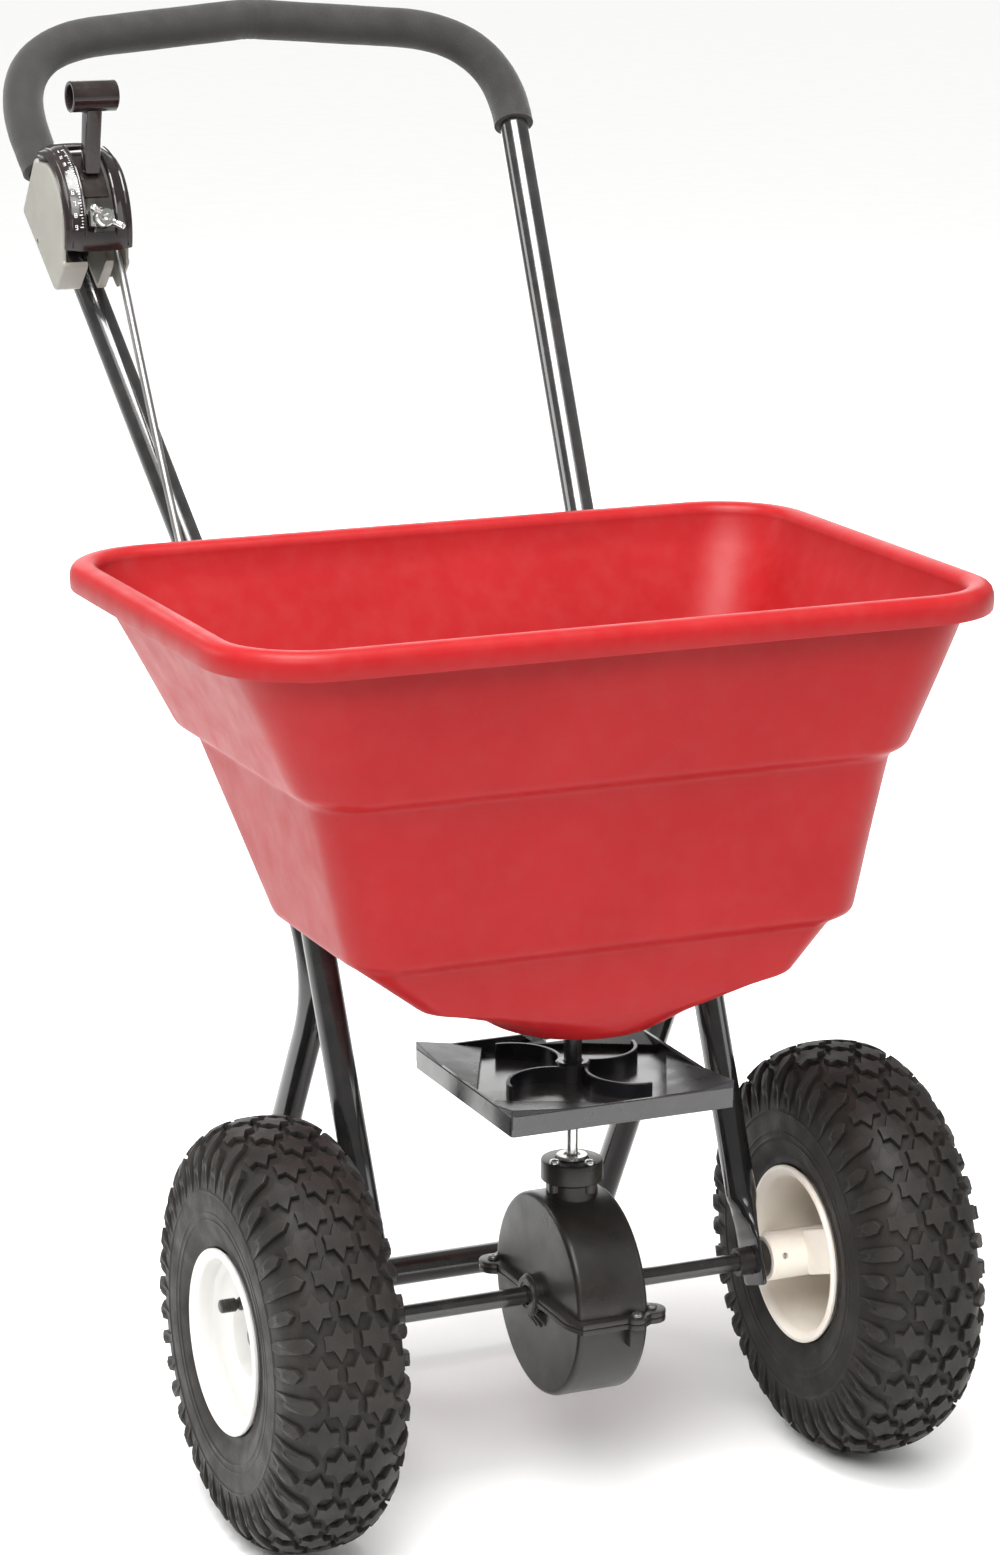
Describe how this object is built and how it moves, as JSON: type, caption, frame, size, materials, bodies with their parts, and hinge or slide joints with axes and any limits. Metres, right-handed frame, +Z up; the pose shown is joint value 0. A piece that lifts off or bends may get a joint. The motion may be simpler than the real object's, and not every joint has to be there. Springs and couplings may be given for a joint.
{
  "type": "broadcast spreader",
  "caption": "Walk-behind broadcast spreader: stepped open hopper over a square spinning impeller, axle-driven gearbox, pneumatic wheels, bent tube handle with dial lever.",
  "frame": {"origin": "middle of the bounding box, on the ground", "axes": "+X to the operator's right along the axle, +Y back towards the operator and the grip, +Z up"},
  "size_m": [0.5712, 0.7638, 1.0101],
  "materials": {
    "hopper_red": "satin moulded polyethylene, fine grain",
    "black_paint": "gloss black powder coat",
    "foam": "closed-cell foam, matte",
    "steel": "zinc plated",
    "black_plastic": "satin black moulding",
    "nylon": "natural nylon",
    "grey_plastic": "satin warm grey moulding",
    "black_gloss_plastic": "gloss black moulding",
    "white_plastic": "semi-gloss white moulding",
    "tyre_rubber": "matte rubber, stud tread"
  },
  "bodies": {
    "frame": {"hopper": "hopper_red", "handle_tube": "black_paint", "side_tube_left": "black_paint", "side_tube_right": "black_paint", "strut_left": "black_paint", "strut_right": "black_paint", "side_bracket_left": "black_paint", "side_bracket_right": "black_paint", "cross_plate": "black_paint", "stand_cross_bar": "black_paint", "foam_grip": "foam", "strut_bolt_left": "steel", "strut_bolt_right": "steel", "leg_bolt_left": "steel", "leg_bolt_right": "steel", "handle_bolt_left": "steel", "handle_bolt_right": "steel", "gearbox_screw_1": "steel", "gearbox_screw_2": "steel", "gearbox_screw_3": "steel", "gearbox_screw_4": "steel", "collar_bush": "steel", "lever_pin": "steel", "foot_cap_left": "black_plastic", "foot_cap_right": "black_plastic", "axle_bearing_left": "black_plastic", "axle_bearing_right": "black_plastic", "plate_guide_left": "black_plastic", "plate_guide_right": "black_plastic", "gearbox_upper": "black_plastic", "gearbox_lower": "black_plastic", "bowl_bush": "nylon", "control_housing": "grey_plastic", "control_cover": "black_gloss_plastic"},
    "axle_set": {"axle": "black_paint", "axle_washer": "steel", "cotter_pin": "steel", "crown_gear": "nylon", "drive_wheel_rim": "white_plastic", "drive_wheel_tyre": "tyre_rubber", "drive_wheel_valve": "black_plastic", "hub_pin": "steel"},
    "free_wheel": {"free_wheel_rim": "white_plastic", "free_wheel_tyre": "tyre_rubber", "free_wheel_valve": "black_plastic"},
    "impeller_set": {"impeller_shaft": "steel", "pinion": "steel", "impeller": "black_plastic", "agitator": "steel"},
    "lever_body": {"lever": "black_gloss_plastic"},
    "shutoff": {"shutoff_plate": "steel"},
    "rod": {"control_rod": "steel"},
    "stop": {"rate_stop": "steel"},
    "nut": {"wing_nut": "steel"}
  },
  "joints": [
    {"name": "axle_spin", "type": "hinge", "parent": "frame", "child": "axle_set", "pos_m": [0, -0.23225, 0.15], "axis": [1, 0, 0], "continuous": true},
    {"name": "free_wheel_spin", "type": "hinge", "parent": "frame", "child": "free_wheel", "pos_m": [-0.20875, -0.23225, 0.15], "axis": [1, 0, 0], "continuous": true},
    {"name": "impeller_spin", "type": "hinge", "parent": "frame", "child": "impeller_set", "pos_m": [0.01, -0.23225, 0.306], "axis": [0, 0, 1], "continuous": true},
    {"name": "lever_swing", "type": "hinge", "parent": "frame", "child": "lever_body", "pos_m": [-0.191, 0.22275, 0.858], "axis": [1, 0, 0], "range_deg": [0, 28]},
    {"name": "plate_slide", "type": "slide", "parent": "frame", "child": "shutoff", "axis": [0, 1, 0], "range_m": [-0.0165, 0]},
    {"name": "rod_swing", "type": "hinge", "parent": "shutoff", "child": "rod", "pos_m": [-0.038, -0.14225, 0.342], "axis": [1, 0, 0], "range_deg": [-2.5, 0]},
    {"name": "rate_stop_slide", "type": "hinge", "parent": "frame", "child": "stop", "pos_m": [-0.191, 0.22275, 0.858], "axis": [1, 0, 0], "range_deg": [-20, 3]},
    {"name": "wing_nut_turn", "type": "hinge", "parent": "stop", "child": "nut", "pos_m": [-0.191, 0.15509, 0.87152], "axis": [0, -0.9806, 0.196], "range_deg": [-180, 180]}
  ],
  "couplings": [
    {"joint": "impeller_spin", "follows": "axle_spin", "ratio": 5},
    {"joint": "plate_slide", "follows": "lever_swing", "m_per_rad": -0.03335},
    {"joint": "rod_swing", "follows": "lever_swing", "ratio": -0.0789}
  ]
}
